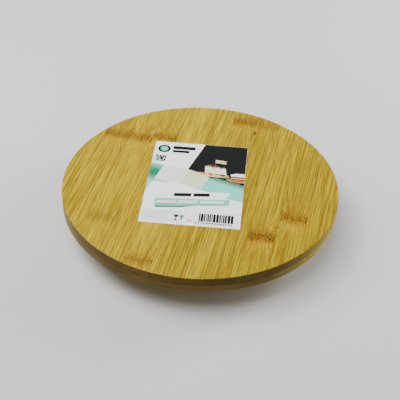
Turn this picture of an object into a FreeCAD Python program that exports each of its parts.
import FreeCAD, Part
import os
import Sketcher

# A round bamboo board that turns on a small round base, in millimetres.
# The axis of rotation is +Z through the origin, which lies on the surface the feet stand on.
# The board's strips run along Y. From the floor up the stack is: rubber feet, bamboo base,
# pressed steel swivel bearing, two glued plies of bamboo strips, paper label.

# Driving sizes: lengths in millimetres, angles in degrees, counts as plain numbers.
DRIVING_SIZES = (
    ("board_diameter", 250, "outside diameter of the board"),
    ("ply_thickness", 7.5, "thickness of each of the board's two plies"),
    ("rim_rounding", 0.9, "radius on the board's upper and lower edges"),
    ("face_strip_count", 11, "strips glued side by side in the upper ply"),
    ("face_strip_offset", -2.9, "where the middle of the upper glued blank lies across the board"),
    ("under_strip_count", 11, "strips glued side by side in the lower ply"),
    ("under_strip_offset", 2.4, "where the middle of the lower glued blank lies across the board"),
    ("strip_allowance", 5.2, "how much wider a glued blank is than the board cut from it"),
    ("label_width", 88, "short side of the paper label"),
    ("label_length", 120, "long side of the paper label"),
    ("label_thickness", 0.15, "paper and adhesive together"),
    ("label_offset_x", -4.3, "label's centre from the board's centre, across the strips"),
    ("label_offset_y", -0.8, "label's centre from the board's centre, along the strips"),
    ("label_angle", 7.6, "how far the label is stuck askew"),
    ("base_margin", 14.2, "from the plates' screw holes out to the base's rim"),
    ("base_thickness", 10, "thickness of the base"),
    ("base_rounding", 1.5, "radius on the base's edges"),
    ("base_strip_count", 7, "strips glued side by side in the base"),
    ("base_strip_allowance", 5, "how much wider the base's glued blank is than the base"),
    ("base_strip_offset", -3, "where the middle of the base's blank lies across it"),
    ("access_hole_diameter", 10, "hole in the base that a screwdriver reaches up through"),
    ("access_hole_angle", 15, "where the access hole lies, clear of the lower plate"),
    ("plate_corner", 7, "corner radius of the bearing plates"),
    ("plate_thickness", 1, "sheet the bearing plates are pressed from"),
    ("plate_hole_inset", 8, "from a plate's side in to its screw holes"),
    ("plate_hole_diameter", 4.5, "screw holes of the plates"),
    ("race_diameter", 76, "circle through the centres of the balls"),
    ("flange_reach", 13, "from the circle of balls out to a plate's side"),
    ("race_clearance", 0.1, "between a ball and the pressed groove it runs in"),
    ("shoulder_gap", 1.6, "between the two plates beside the balls, where the cage runs"),
    ("groove_back_gap", 0.4, "between the back of a pressed groove and the wood"),
    ("shoulder_reach", 4.5, "flat of each plate outside the circle of balls"),
    ("lip_clearance", 0.3, "between the curled lip and the upper plate's inner edge"),
    ("lip_end_gap", 0.6, "between the end of the lip and the back of the upper groove"),
    ("ball_diameter", 5, "steel balls"),
    ("ball_count", 24, "balls in the race"),
    ("cage_width", 8, "radial width of the ball cage"),
    ("cage_side_gap", 2, "between the cage and the wall of the curled lip"),
    ("cage_thickness", 1, "thickness of the ball cage"),
    ("pocket_clearance", 0.15, "between a ball and its pocket in the cage"),
    ("screw_diameter", 3.5, "shank of every screw"),
    ("screw_clearance", 0.05, "between a shank and its pilot hole"),
    ("screw_head_diameter", 7, "pan heads"),
    ("screw_head_height", 2, "pan heads, underside to crown"),
    ("screw_head_edge", 0.7, "straight side of a pan head below its dome"),
    ("screw_point", 2.5, "length of the pointed end"),
    ("recess_span", 4.2, "cross recess, tip to tip"),
    ("recess_slot", 0.9, "width of each arm of the cross recess"),
    ("recess_depth", 1.2, "depth of the cross recess"),
    ("upper_screw_length", 11.5, "screws from the upper plate into the board"),
    ("lower_screw_length", 8.5, "screws from the lower plate into the base"),
    ("foot_screw_length", 8, "screws from the feet into the base"),
    ("foot_diameter", 16, "rubber feet"),
    ("foot_height", 4, "rubber feet"),
    ("foot_rounding", 0.8, "radius on the edge that meets the floor"),
    ("foot_inset", 13, "from the base's rim in to a foot's centre"),
    ("foot_recess_diameter", 8.4, "recess that hides the screw's head"),
    ("foot_floor", 1.4, "rubber left above the recess"),
)

# How far a cutting box or cylinder runs past what it cuts.
OVERRUN = 5

# The bearing's section, measured from its own underside and from the axis of rotation.
RACE_RADIUS = "Sizes.race_diameter / 2"
GROOVE_RADIUS = "(Sizes.ball_diameter / 2 + Sizes.race_clearance)"
SKIN_RADIUS = f"({GROOVE_RADIUS} + Sizes.plate_thickness)"
BEARING_HEIGHT = f"(2 * ({SKIN_RADIUS} + Sizes.groove_back_gap))"
MID_HEIGHT = f"({BEARING_HEIGHT} / 2)"
FLANGE_SEAT = f"({BEARING_HEIGHT} - Sizes.plate_thickness)"
HALF_GAP = "(Sizes.shoulder_gap / 2)"
SHOULDER_HALF = f"({HALF_GAP} + Sizes.plate_thickness)"
GROOVE_HALF_WIDTH = f"sqrt({GROOVE_RADIUS} ^ 2 - {HALF_GAP} ^ 2)"
SKIN_HALF_WIDTH = f"sqrt({SKIN_RADIUS} ^ 2 - {SHOULDER_HALF} ^ 2)"
SHOULDER_END = f"({RACE_RADIUS} + Sizes.shoulder_reach)"
SHOULDER_RISE = f"({MID_HEIGHT} - {SHOULDER_HALF})"
# A sheet bent by 45 degrees has its inner corner this far before its outer corner.
BEND_SHIFT = "Sizes.plate_thickness * tan(22.5 deg)"
PRESSED_RADIUS = f"({SHOULDER_END} + {SHOULDER_RISE} + Sizes.plate_thickness)"
LIP_WALL_RADIUS = f"({RACE_RADIUS} - Sizes.cage_width / 2 - Sizes.cage_side_gap)"
LIP_BORE_RADIUS = f"({LIP_WALL_RADIUS} - Sizes.plate_thickness)"
LIP_HALF = f"({SHOULDER_HALF} + Sizes.lip_clearance)"
LIP_TIP_RADIUS = f"({RACE_RADIUS} - sqrt({SKIN_RADIUS} ^ 2 - {LIP_HALF} ^ 2) - Sizes.lip_end_gap)"
UPPER_INNER_RADIUS = f"({LIP_WALL_RADIUS} + Sizes.lip_clearance)"
PLATE_SIDE = "(Sizes.race_diameter + 2 * Sizes.flange_reach)"
PLATE_HOLE_REACH = f"({PLATE_SIDE} / 2 - Sizes.plate_hole_inset)"
PLATE_HOLE_RADIUS = f"({PLATE_HOLE_REACH} * sqrt(2))"

# The base, its feet and the heights of the stack, measured from the floor.
BASE_DIAMETER = f"(2 * ({PLATE_HOLE_RADIUS} + Sizes.base_margin))"
FOOT_CIRCLE_RADIUS = f"({BASE_DIAMETER} / 2 - Sizes.foot_inset)"
BASE_BOTTOM = "Sizes.foot_height"
BASE_TOP = f"({BASE_BOTTOM} + Sizes.base_thickness)"
BOARD_BOTTOM = f"({BASE_TOP} + {BEARING_HEIGHT})"
PLY_JOINT = f"({BOARD_BOTTOM} + Sizes.ply_thickness)"
BOARD_TOP = f"({PLY_JOINT} + Sizes.ply_thickness)"

PILOT_RADIUS = "(Sizes.screw_diameter / 2 + Sizes.screw_clearance)"
SCREWS_IN_RING = 4

doc = FreeCAD.newDocument("turntable")
sheet = doc.addObject("Spreadsheet::Sheet", "Sizes")
nodes = []


def fill_sheet():
    """Put each driving size in a cell of its own, beside its meaning."""
    for row, (alias, value, meaning) in enumerate(DRIVING_SIZES, start=1):
        sheet.set(f"A{row}", meaning)
        sheet.set(f"B{row}", str(value))
        sheet.setAlias(f"B{row}", alias)
    doc.recompute()


def value_of(expression):
    """The number an expression of the driving sizes stands for now."""
    result = sheet.evalExpression(expression)
    return float(getattr(result, "Value", result))


def bind(item, bindings):
    """Tie properties of an object to expressions of the driving sizes."""
    for name, expression in bindings.items():
        item.setExpression(name, expression)
    return item


def place(item, x="0", y="0", z="0"):
    """Tie an object's position to expressions of the driving sizes."""
    names = ("Placement.Base.x", "Placement.Base.y", "Placement.Base.z")
    return bind(item, dict(zip(names, (x, y, z))))


def keep(item, label):
    """Name an object as one finished piece of the turntable."""
    item.Label = label
    nodes.append(item)
    return item


# ---- sketches and bodies -------------------------------------------------------------------

def new_body(name):
    return doc.addObject("PartDesign::Body", name)


def origin_feature(body, role):
    """One of a body's own origin planes or axes."""
    return next(item for item in body.Origin.OriginFeatures if item.Role == role)


def new_sketch(body, name, role, shift=None):
    """A sketch on a body's own origin plane; shift moves it off the plane or along it."""
    sketch = body.newObject("Sketcher::SketchObject", name)
    sketch.AttachmentSupport = (origin_feature(body, role), [""])
    sketch.MapMode = "FlatFace"
    for axis, expression in (shift or {}).items():
        sketch.setExpression(f"AttachmentOffset.Base.{axis}", expression)
    return sketch


def pin_point(sketch, geometry, end, x, y):
    """Hold one end of a sketch line at the place that two expressions give."""
    sheet_axes = (("DistanceX", x, -2), ("DistanceY", y, -1))
    for kind, expression, axis in sheet_axes:
        if expression == "0":
            sketch.addConstraint(Sketcher.Constraint("PointOnObject", geometry, end, axis))
            continue
        value = value_of(expression)
        number = sketch.addConstraint(Sketcher.Constraint(kind, -1, 1, geometry, end, value))
        sketch.setExpression(f"Constraints[{number}]", expression)


def arc_between(start, finish, radius, side):
    """An arc from start to finish; side 1 keeps its centre left of that way, -1 right of it."""
    middle = (start + finish) * 0.5
    half = (finish - start) * 0.5
    left = FreeCAD.Vector(-half.y, half.x, 0)
    left.normalize()
    depth = max(radius ** 2 - half.Length ** 2, 0) ** 0.5
    centre = middle + left * (depth * side)
    crown = centre - left * (radius * side)
    return Part.Arc(start, crown, finish)


def add_outline(sketch, corners, arcs=None):
    """A closed outline through corners, given as pairs of expressions.

    arcs maps the number of the corner where an arc starts to (radius expression, side).
    """
    arcs = arcs or {}
    points = [FreeCAD.Vector(value_of(x), value_of(y), 0) for x, y in corners]
    count = len(corners)
    edges = []
    for number, start in enumerate(points):
        finish = points[(number + 1) % count]
        if number in arcs:
            radius, side = arcs[number]
            shape = arc_between(start, finish, value_of(radius), side)
        else:
            shape = Part.LineSegment(start, finish)
        edges.append(sketch.addGeometry(shape))
    ends = [edge_ends(sketch, edge, points[number]) for number, edge in enumerate(edges)]
    for number, edge in enumerate(edges):
        following = (number + 1) % count
        joint = (edge, ends[number][1], edges[following], ends[following][0])
        sketch.addConstraint(Sketcher.Constraint("Coincident", *joint))
    for number, (x, y) in enumerate(corners):
        pin_point(sketch, edges[number], ends[number][0], x, y)
    for number, (radius, _) in arcs.items():
        constraint = Sketcher.Constraint("Radius", edges[number], value_of(radius))
        index = sketch.addConstraint(constraint)
        sketch.setExpression(f"Constraints[{index}]", radius)


def edge_ends(sketch, edge, start):
    """Which stored end of a sketch edge lies at start, and which is the other."""
    nearest = sketch.getPoint(edge, 1).distanceToPoint(start)
    farthest = sketch.getPoint(edge, 2).distanceToPoint(start)
    return (1, 2) if nearest <= farthest else (2, 1)


def add_circle(sketch, radius, x="0", y="0"):
    """A circle whose radius and centre are expressions."""
    centre = FreeCAD.Vector(value_of(x), value_of(y), 0)
    shape = Part.Circle(centre, FreeCAD.Vector(0, 0, 1), value_of(radius))
    circle = sketch.addGeometry(shape)
    index = sketch.addConstraint(Sketcher.Constraint("Radius", circle, value_of(radius)))
    sketch.setExpression(f"Constraints[{index}]", radius)
    if x == "0" and y == "0":
        sketch.addConstraint(Sketcher.Constraint("Coincident", circle, 3, -1, 1))
    else:
        pin_point(sketch, circle, 3, x, y)


def pad(body, sketch, length):
    """Raise a sketch by a length."""
    feature = body.newObject("PartDesign::Pad", f"{body.Name}_pad")
    feature.Profile = sketch
    feature.setExpression("Length", length)
    sketch.Visibility = False
    doc.recompute()
    return feature


def revolve(body, sketch):
    """Turn a sketch once round its own vertical axis."""
    feature = body.newObject("PartDesign::Revolution", f"{body.Name}_revolution")
    feature.Profile = sketch
    feature.ReferenceAxis = (sketch, ["V_Axis"])
    feature.Angle = 360
    doc.recompute()
    return feature


def cut_pocket(body, sketch, depth=None, upwards=False):
    """Cut a sketch down into the body by a depth, or right through it, and check that it cut."""
    before = body.Shape.Volume
    feature = body.newObject("PartDesign::Pocket", f"{sketch.Name}_pocket")
    feature.Profile = sketch
    feature.Reversed = upwards
    if depth is None:
        feature.Type = "ThroughAll"
    else:
        feature.setExpression("Length", depth)
    doc.recompute()
    if body.Shape.Volume > before - 1e-6:
        raise RuntimeError(f"{feature.Name} cuts nothing")
    return feature


def round_pattern(body, features, count):
    """Repeat features evenly round the axis of rotation; count is an expression."""
    pattern = body.newObject("PartDesign::PolarPattern", f"{body.Name}_ring")
    pattern.Originals = features
    pattern.Axis = (origin_feature(body, "Z_Axis"), [""])
    pattern.Angle = 360
    pattern.setExpression("Occurrences", count)
    body.Tip = pattern
    doc.recompute()
    return pattern


def round_edges(body, base, radius, wanted):
    """Fillet those edges of a feature that wanted accepts."""
    names = [
        f"Edge{number}"
        for number, edge in enumerate(base.Shape.Edges, start=1)
        if wanted(edge)
    ]
    fillet = body.newObject("PartDesign::Fillet", f"{body.Name}_fillet")
    fillet.Base = (base, names)
    fillet.setExpression("Radius", radius)
    doc.recompute()
    return fillet


def is_rim_at(height):
    """Accepts the closed circular edges that lie at a height."""
    def wanted(edge):
        level = edge.BoundBox.ZMax - edge.BoundBox.ZMin < 1e-6
        return level and edge.isClosed() and abs(edge.BoundBox.ZMin - height) < 1e-6
    return wanted


def is_upright(edge):
    """Accepts straight edges that run along Z."""
    box = edge.BoundBox
    return box.XLength < 1e-6 and box.YLength < 1e-6 and box.ZLength > 1e-6


# ---- glued bamboo boards -------------------------------------------------------------------

def round_blank(name, diameter, thickness, bottom, roundings):
    """A round board. roundings maps "top" or "bottom" to the radius on that edge."""
    body = new_body(name)
    sketch = new_sketch(body, f"{name}_outline", "XY_Plane")
    add_circle(sketch, f"{diameter} / 2")
    feature = pad(body, sketch, thickness)
    for edge_name, radius in roundings.items():
        height = value_of(thickness) if edge_name == "top" else 0
        feature = round_edges(body, feature, radius, is_rim_at(height))
    place(body, z=bottom)
    return body


def drill(name, radius, reach, depth, bottom, start_angle="0", count=SCREWS_IN_RING):
    """Cylinders for a ring of holes, reach out from the axis of rotation."""
    drills = []
    for number in range(count):
        angle = f"({start_angle} + {number} * 360 / {count}) * 1 deg"
        cutter = doc.addObject("Part::Cylinder", f"{name}_{number + 1}")
        bind(cutter, {"Radius": radius, "Height": depth})
        place(cutter, f"{reach} * cos({angle})", f"{reach} * sin({angle})", bottom)
        drills.append(cutter)
    return drills


def cut_all(name, target, cutters):
    """Take every cutter away from the target."""
    tool = doc.addObject("Part::Compound", f"{name}_cutters")
    tool.Links = cutters
    result = doc.addObject("Part::Cut", name)
    result.Base = target
    result.Tool = tool
    return result


def saw_into_strips(prefix, blank, diameter, allowance, bottom, thickness):
    """Part a round blank into the strips it was glued from, numbered from -X to +X."""
    count = int(value_of(f"Sizes.{prefix}_count"))
    offset = f"Sizes.{prefix}_offset"
    width = f"(({diameter} + {allowance}) / Sizes.{prefix}_count)"
    outer = f"({diameter} / 2 + {OVERRUN})"
    for number in range(1, count + 1):
        left = f"({offset} + {width} * ({number - 1} - {count} / 2))"
        right = f"({offset} + {width} * ({number} - {count} / 2))"
        if number == 1:
            left = f"(-{outer})"
        if number == count:
            right = outer
        cutter = doc.addObject("Part::Box", f"{prefix}_{number:02d}_saw")
        sizes = {
            "Length": f"{right} - {left}",
            "Width": f"2 * {outer}",
            "Height": f"{thickness} + 2 * {OVERRUN}",
        }
        bind(cutter, sizes)
        place(cutter, left, f"-{outer}", f"{bottom} - {OVERRUN}")
        strip = doc.addObject("Part::Common", f"{prefix}_{number:02d}_solid")
        strip.Base = blank
        strip.Tool = cutter
        keep(strip, f"{prefix}_{number:02d}")


def make_board():
    """The two plies of the board, drilled from below for the bearing's upper screws."""
    grip = "(Sizes.upper_screw_length - Sizes.plate_thickness)"
    drills = drill("board_pilot", PILOT_RADIUS, PLATE_HOLE_RADIUS, grip, BOARD_BOTTOM)
    diameter = "Sizes.board_diameter"
    thickness = "Sizes.ply_thickness"
    plies = (("face_strip", PLY_JOINT, "top"), ("under_strip", BOARD_BOTTOM, "bottom"))
    for prefix, bottom, outer_edge in plies:
        rounding = {outer_edge: "Sizes.rim_rounding"}
        blank = round_blank(f"{prefix}_blank", diameter, thickness, bottom, rounding)
        drilled = cut_all(f"{prefix}_drilled", blank, drills)
        saw_into_strips(prefix, drilled, diameter, "Sizes.strip_allowance", bottom, thickness)


def make_base():
    """The round base, with pilot holes from both sides and the hole for the screwdriver."""
    thickness = "Sizes.base_thickness"
    rounding = {"top": "Sizes.base_rounding", "bottom": "Sizes.base_rounding"}
    blank = round_blank("base_blank", BASE_DIAMETER, thickness, BASE_BOTTOM, rounding)
    plate_grip = "(Sizes.lower_screw_length - Sizes.plate_thickness)"
    foot_grip = "(Sizes.foot_screw_length - Sizes.foot_floor)"
    cutters = drill("plate_pilot", PILOT_RADIUS, PLATE_HOLE_RADIUS, plate_grip,
                    f"{BASE_TOP} - {plate_grip}", "45")
    cutters += drill("foot_pilot", PILOT_RADIUS, FOOT_CIRCLE_RADIUS, foot_grip, BASE_BOTTOM)
    cutters += drill("access_hole", "Sizes.access_hole_diameter / 2", PLATE_HOLE_RADIUS,
                     f"Sizes.base_thickness + 2 * {OVERRUN}", f"{BASE_BOTTOM} - {OVERRUN}",
                     "Sizes.access_hole_angle", 1)
    drilled = cut_all("base_drilled", blank, cutters)
    saw_into_strips("base_strip", drilled, BASE_DIAMETER, "Sizes.base_strip_allowance",
                    BASE_BOTTOM, thickness)


def make_label():
    """The paper label on the board's top, a little askew."""
    body = new_body("label_body")
    sketch = new_sketch(body, "label_outline", "XY_Plane")
    across = "Sizes.label_width / 2"
    along = "Sizes.label_length / 2"
    corners = (
        (f"-{across}", f"-{along}"),
        (across, f"-{along}"),
        (across, along),
        (f"-{across}", along),
    )
    add_outline(sketch, corners)
    pad(body, sketch, "Sizes.label_thickness")
    place(body, "Sizes.label_offset_x", "Sizes.label_offset_y", BOARD_TOP)
    body.setExpression("Placement.Rotation.Angle", "Sizes.label_angle * 1 deg")
    keep(body, "label")


# ---- swivel bearing ------------------------------------------------------------------------

def flange(body, name, height):
    """A square sheet with rounded corners, open in the middle and drilled near each corner."""
    sketch = new_sketch(body, f"{name}_square", "XY_Plane", {"z": height})
    half = f"{PLATE_SIDE} / 2"
    corners = ((f"-{half}", f"-{half}"), (half, f"-{half}"), (half, half), (f"-{half}", half))
    add_outline(sketch, corners)
    add_circle(sketch, f"{PRESSED_RADIUS} - Sizes.plate_thickness / 2")
    sheet_metal = pad(body, sketch, "Sizes.plate_thickness")
    round_edges(body, sheet_metal, "Sizes.plate_corner", is_upright_corner)
    hole_sketch = new_sketch(body, f"{name}_hole", "XY_Plane")
    radius = "Sizes.plate_hole_diameter / 2"
    add_circle(hole_sketch, radius, PLATE_HOLE_REACH, PLATE_HOLE_REACH)
    hole = cut_pocket(body, hole_sketch, upwards=True)
    round_pattern(body, [hole], str(SCREWS_IN_RING))


def is_upright_corner(edge):
    """Accepts the upright edges at the corners of a square plate, not the seam of its hole."""
    box = edge.BoundBox
    return is_upright(edge) and abs(abs(box.XMin) - abs(box.YMin)) < 1e-6


def make_lower_plate():
    """Pressed plate with the lower race; its inner edge curls out over the upper plate."""
    body = new_body("lower_plate_body")
    flange(body, "lower_plate", "0")
    sketch = new_sketch(body, "lower_plate_section", "XZ_Plane")
    shoulder_top = f"({MID_HEIGHT} - {HALF_GAP})"
    shoulder_bottom = f"({MID_HEIGHT} - {SHOULDER_HALF})"
    lip_bottom = f"({MID_HEIGHT} + {LIP_HALF})"
    lip_top = f"({lip_bottom} + Sizes.plate_thickness)"
    corners = (
        (LIP_TIP_RADIUS, lip_bottom),
        (LIP_WALL_RADIUS, lip_bottom),
        (LIP_WALL_RADIUS, shoulder_top),
        (f"{RACE_RADIUS} - {GROOVE_HALF_WIDTH}", shoulder_top),
        (f"{RACE_RADIUS} + {GROOVE_HALF_WIDTH}", shoulder_top),
        (SHOULDER_END, shoulder_top),
        (f"{SHOULDER_END} + {SHOULDER_RISE}", "Sizes.plate_thickness"),
        (PRESSED_RADIUS, "Sizes.plate_thickness"),
        (PRESSED_RADIUS, "0"),
        (f"{SHOULDER_END} + {SHOULDER_RISE} - {BEND_SHIFT}", "0"),
        (f"{SHOULDER_END} - {BEND_SHIFT}", shoulder_bottom),
        (f"{RACE_RADIUS} + {SKIN_HALF_WIDTH}", shoulder_bottom),
        (f"{RACE_RADIUS} - {SKIN_HALF_WIDTH}", shoulder_bottom),
        (LIP_BORE_RADIUS, shoulder_bottom),
        (LIP_BORE_RADIUS, lip_top),
        (LIP_TIP_RADIUS, lip_top),
    )
    add_outline(sketch, corners, {3: (GROOVE_RADIUS, 1), 11: (SKIN_RADIUS, -1)})
    revolve(body, sketch)
    place(body, z=BASE_TOP)
    keep(body, "bearing_lower_plate")


def make_upper_plate():
    """Pressed plate with the upper race, turned half a right angle from the lower plate."""
    body = new_body("upper_plate_body")
    flange(body, "upper_plate", FLANGE_SEAT)
    sketch = new_sketch(body, "upper_plate_section", "XZ_Plane")
    shoulder_bottom = f"({MID_HEIGHT} + {HALF_GAP})"
    shoulder_top = f"({MID_HEIGHT} + {SHOULDER_HALF})"
    corners = (
        (UPPER_INNER_RADIUS, shoulder_bottom),
        (f"{RACE_RADIUS} - {GROOVE_HALF_WIDTH}", shoulder_bottom),
        (f"{RACE_RADIUS} + {GROOVE_HALF_WIDTH}", shoulder_bottom),
        (SHOULDER_END, shoulder_bottom),
        (f"{SHOULDER_END} + {SHOULDER_RISE}", FLANGE_SEAT),
        (PRESSED_RADIUS, FLANGE_SEAT),
        (PRESSED_RADIUS, BEARING_HEIGHT),
        (f"{SHOULDER_END} + {SHOULDER_RISE} - {BEND_SHIFT}", BEARING_HEIGHT),
        (f"{SHOULDER_END} - {BEND_SHIFT}", shoulder_top),
        (f"{RACE_RADIUS} + {SKIN_HALF_WIDTH}", shoulder_top),
        (f"{RACE_RADIUS} - {SKIN_HALF_WIDTH}", shoulder_top),
        (UPPER_INNER_RADIUS, shoulder_top),
    )
    add_outline(sketch, corners, {1: (GROOVE_RADIUS, -1), 9: (SKIN_RADIUS, 1)})
    revolve(body, sketch)
    body.Placement.Rotation = FreeCAD.Rotation(FreeCAD.Vector(0, 0, 1), 45)
    place(body, z=BASE_TOP)
    keep(body, "bearing_upper_plate")


def make_cage():
    """The flat ring between the plates that keeps the balls apart."""
    body = new_body("cage_body")
    sketch = new_sketch(body, "cage_ring", "XY_Plane")
    add_circle(sketch, f"{RACE_RADIUS} + Sizes.cage_width / 2")
    add_circle(sketch, f"{RACE_RADIUS} - Sizes.cage_width / 2")
    pad(body, sketch, "Sizes.cage_thickness")
    pocket_sketch = new_sketch(body, "cage_pocket", "XY_Plane")
    add_circle(pocket_sketch, "Sizes.ball_diameter / 2 + Sizes.pocket_clearance", RACE_RADIUS)
    hole = cut_pocket(body, pocket_sketch, upwards=True)
    round_pattern(body, [hole], "Sizes.ball_count")
    place(body, z=f"{BASE_TOP} + {MID_HEIGHT} - Sizes.cage_thickness / 2")
    keep(body, "ball_cage")


def make_balls():
    """The steel balls, one solid each."""
    body = new_body("balls_body")
    ball = body.newObject("PartDesign::AdditiveSphere", "ball")
    ball.AttachmentSupport = (origin_feature(body, "XY_Plane"), [""])
    ball.MapMode = "FlatFace"
    bind(ball, {"Radius": "Sizes.ball_diameter / 2", "AttachmentOffset.Base.x": RACE_RADIUS})
    doc.recompute()
    round_pattern(body, [ball], "Sizes.ball_count")
    place(body, z=f"{BASE_TOP} + {MID_HEIGHT}")
    keep(body, "bearing_balls")


# ---- screws and feet -----------------------------------------------------------------------

def ring_of_screws(label, length, reach, seat, turn, points_up):
    """Four pan-head wood screws round the axis, one solid each; seat is where the heads bear."""
    body = new_body(f"{label}_body")
    section = new_sketch(body, f"{label}_section", "XZ_Plane", {"x": reach})
    shank = "Sizes.screw_diameter / 2"
    head = "Sizes.screw_head_diameter / 2"
    dome = "(Sizes.screw_head_height - Sizes.screw_head_edge)"
    dome_radius = f"(({head}) ^ 2 + {dome} ^ 2) / (2 * {dome})"
    corners = (
        ("0", f"-{length}"),
        (shank, f"-({length} - Sizes.screw_point)"),
        (shank, "0"),
        (head, "0"),
        (head, "Sizes.screw_head_edge"),
        ("0", "Sizes.screw_head_height"),
    )
    add_outline(section, corners, {4: (dome_radius, 1)})
    blank = revolve(body, section)
    crown = {"x": reach, "z": "Sizes.screw_head_height"}
    recess = new_sketch(body, f"{label}_recess", "XY_Plane", crown)
    far = "Sizes.recess_span / 2"
    near = "Sizes.recess_slot / 2"
    cross = (
        (far, f"-{near}"), (far, near), (near, near),
        (near, far), (f"-{near}", far), (f"-{near}", near),
        (f"-{far}", near), (f"-{far}", f"-{near}"), (f"-{near}", f"-{near}"),
        (f"-{near}", f"-{far}"), (near, f"-{far}"), (near, f"-{near}"),
    )
    add_outline(recess, cross)
    socket = cut_pocket(body, recess, "Sizes.recess_depth")
    round_pattern(body, [blank, socket], str(SCREWS_IN_RING))
    spin = FreeCAD.Rotation(FreeCAD.Vector(0, 0, 1), turn)
    flip = FreeCAD.Rotation(FreeCAD.Vector(1, 0, 0), 180 if points_up else 0)
    body.Placement.Rotation = spin * flip
    place(body, z=seat)
    keep(body, label)


def make_screws():
    upper_seat = f"{BOARD_BOTTOM} - Sizes.plate_thickness"
    lower_seat = f"{BASE_TOP} + Sizes.plate_thickness"
    foot_seat = f"{BASE_BOTTOM} - Sizes.foot_floor"
    ring_of_screws("upper_screws", "Sizes.upper_screw_length", PLATE_HOLE_RADIUS, upper_seat,
                   0, True)
    ring_of_screws("lower_screws", "Sizes.lower_screw_length", PLATE_HOLE_RADIUS, lower_seat,
                   45, False)
    ring_of_screws("foot_screws", "Sizes.foot_screw_length", FOOT_CIRCLE_RADIUS, foot_seat,
                   0, True)


def make_foot(label, angle):
    """A rubber foot with a recess for its screw's head; angle says where it stands."""
    body = new_body(f"{label}_body")
    section = new_sketch(body, f"{label}_section", "XZ_Plane")
    side = "Sizes.foot_diameter / 2"
    bore = PILOT_RADIUS
    recess = "Sizes.foot_recess_diameter / 2"
    ceiling = "(Sizes.foot_height - Sizes.foot_floor)"
    corners = (
        (bore, "Sizes.foot_height"),
        (bore, ceiling),
        (recess, ceiling),
        (recess, "0"),
        (f"{side} - Sizes.foot_rounding", "0"),
        (side, "Sizes.foot_rounding"),
        (side, "Sizes.foot_height"),
    )
    add_outline(section, corners, {4: ("Sizes.foot_rounding", 1)})
    revolve(body, section)
    turn = f"({angle} * 1 deg)"
    place(body, f"{FOOT_CIRCLE_RADIUS} * cos({turn})", f"{FOOT_CIRCLE_RADIUS} * sin({turn})")
    keep(body, label)


def make_feet():
    places = (("foot_right", 0), ("foot_back", 90), ("foot_left", 180), ("foot_front", 270))
    for label, angle in places:
        make_foot(label, angle)


# ---- checks and files ----------------------------------------------------------------------

def check_model():
    """Stop if any object failed or any piece is empty or not valid."""
    failed = [item.Name for item in doc.Objects if {"Invalid", "Error"} & set(item.State)]
    if failed:
        raise RuntimeError(f"failed objects: {failed}")
    for item in nodes:
        if item.Shape.isNull() or not item.Shape.isValid() or not item.Shape.Solids:
            raise RuntimeError(f"{item.Label} has no valid solid")


def write_parts():
    os.makedirs("parts", exist_ok=True)
    for item in nodes:
        item.Shape.exportStep(f"parts/{item.Label}.step")
        solids = len(item.Shape.Solids)
        print(f"{item.Label}: {solids} solid(s), {item.Shape.Volume:.1f} mm3")


fill_sheet()
make_board()
make_label()
make_upper_plate()
make_lower_plate()
make_cage()
make_balls()
make_base()
make_screws()
make_feet()
doc.recompute()
check_model()
write_parts()
